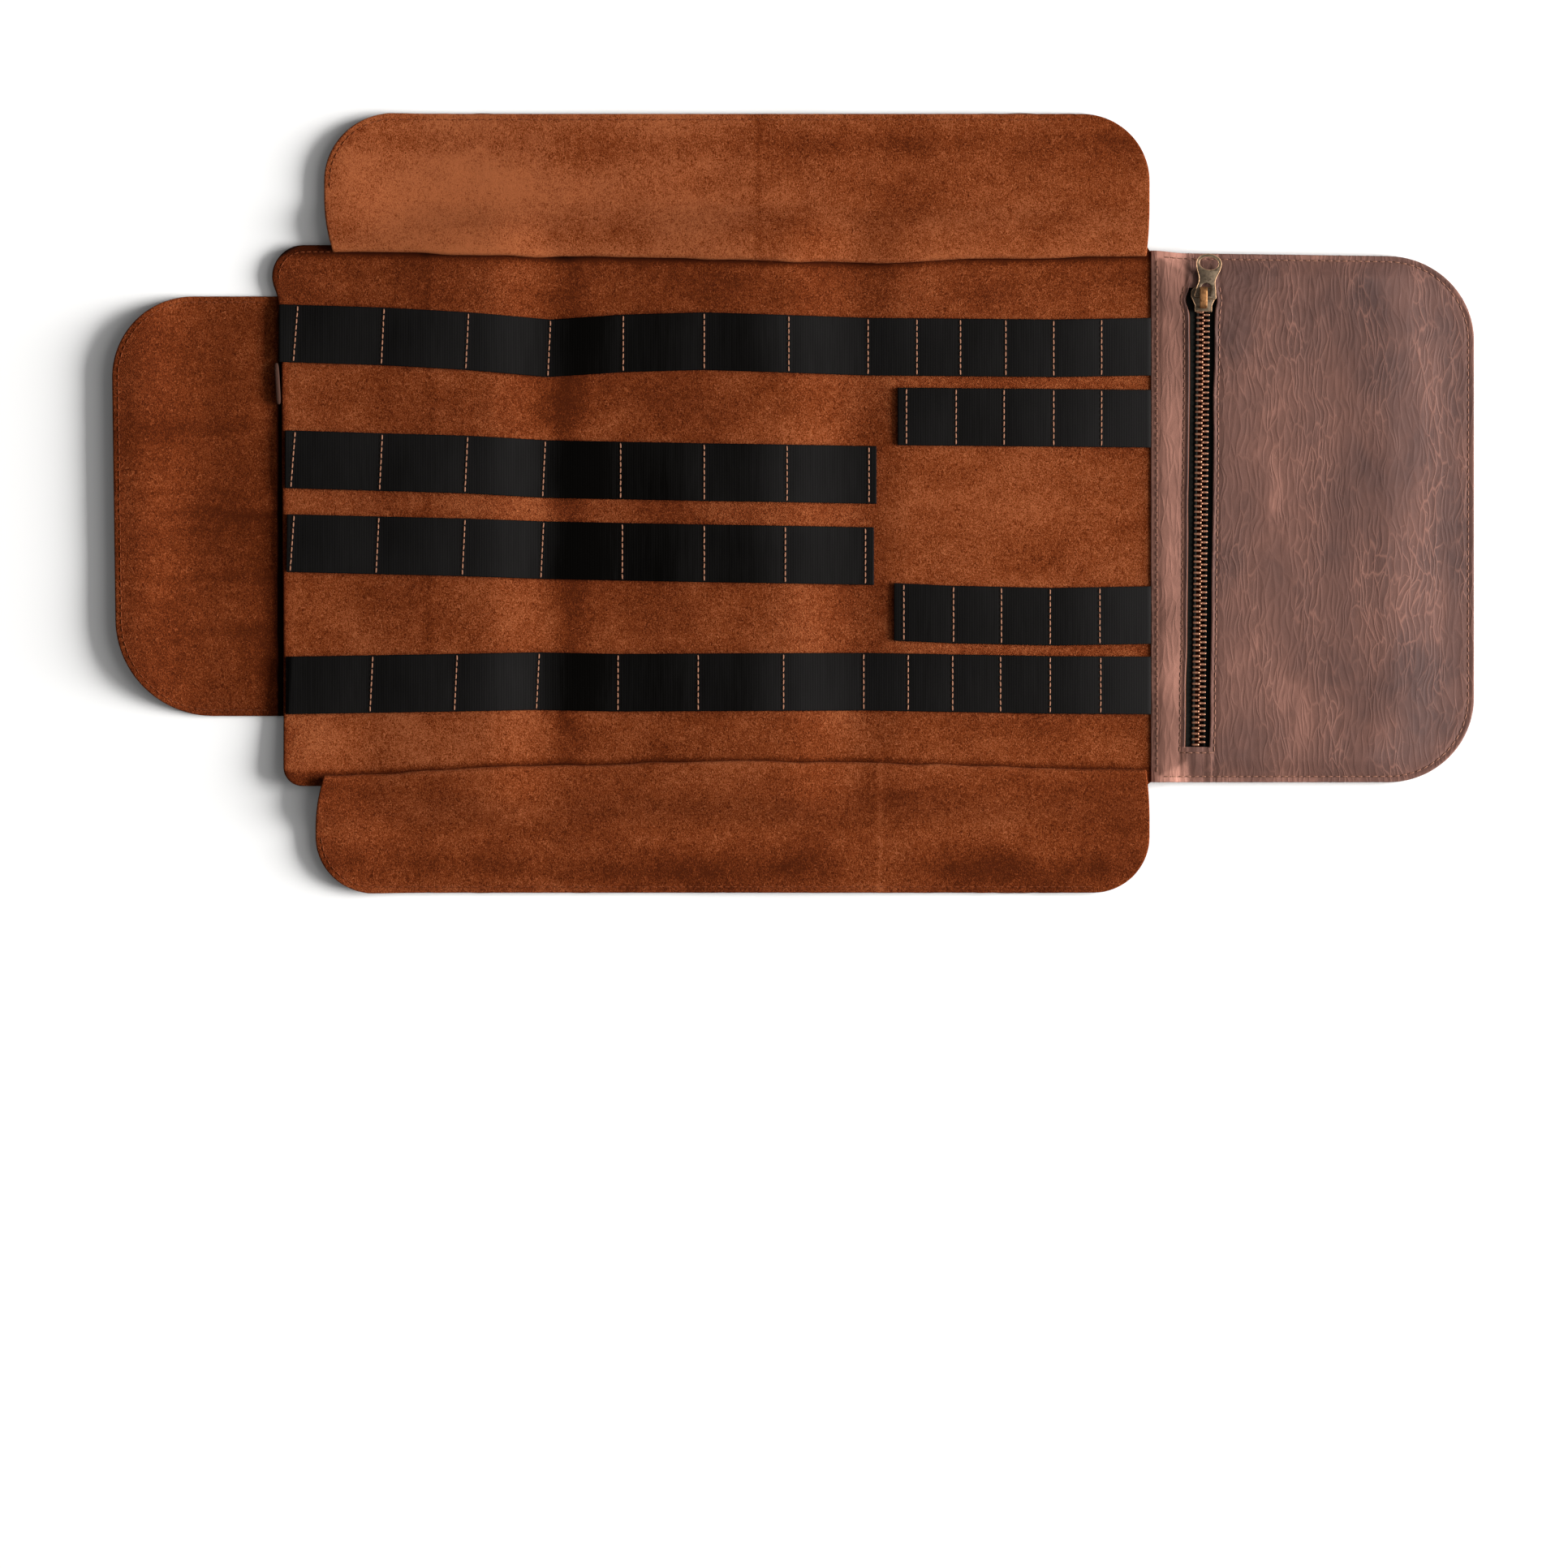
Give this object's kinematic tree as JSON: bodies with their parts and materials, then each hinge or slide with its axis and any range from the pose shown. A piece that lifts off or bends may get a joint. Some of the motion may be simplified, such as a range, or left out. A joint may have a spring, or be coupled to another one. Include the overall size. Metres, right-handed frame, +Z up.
{
  "type": "motorcycle tool roll",
  "caption": "Leather tool roll lying open, suede side up, with elastic tool loops, fold-over flaps, a zip pocket and closing straps beneath.",
  "frame": {"origin": "on the floor, under the middle of the opened roll's outline", "axes": "+X from the left flap to the zip pocket, +Y to the top flap, +Z up"},
  "size_m": [0.6042, 0.3456, 0.0117],
  "materials": {
    "suede": "brushed suede side of thick leather",
    "pocket_leather": "waxed pull-up grain, wrinkled",
    "strap_leather": "waxed pull-up grain",
    "elastic": "woven elastic",
    "zip_tape": "herringbone tape",
    "zip_metal": "copper-toned, worn",
    "slider_metal": "antique, rubbed bright on the edges"
  },
  "bodies": {
    "roll": {"main_panel": "suede", "top_flap": "suede", "bottom_flap": "suede", "left_flap": "suede", "keeper_tab": "suede", "pocket_back": "pocket_leather", "pocket_front": "pocket_leather", "strap_upper": "strap_leather", "strap_lower": "strap_leather", "elastic_top": "elastic", "elastic_upper": "elastic", "elastic_middle": "elastic", "elastic_bottom": "elastic", "elastic_short_upper": "elastic", "elastic_short_lower": "elastic", "zip_tape_left": "zip_tape", "zip_tape_right": "zip_tape", "zip_teeth_left": "zip_metal", "zip_teeth_right": "zip_metal", "zip_slider": "slider_metal"},
    "puller": {"zip_puller": "slider_metal"}
  },
  "joints": [
    {"name": "puller_swing", "type": "hinge", "parent": "roll", "child": "puller", "pos_m": [0.18175, 0.09129, 0.00958], "axis": [0.9952, -0.0979, 0], "range_deg": [0, 170]}
  ]
}
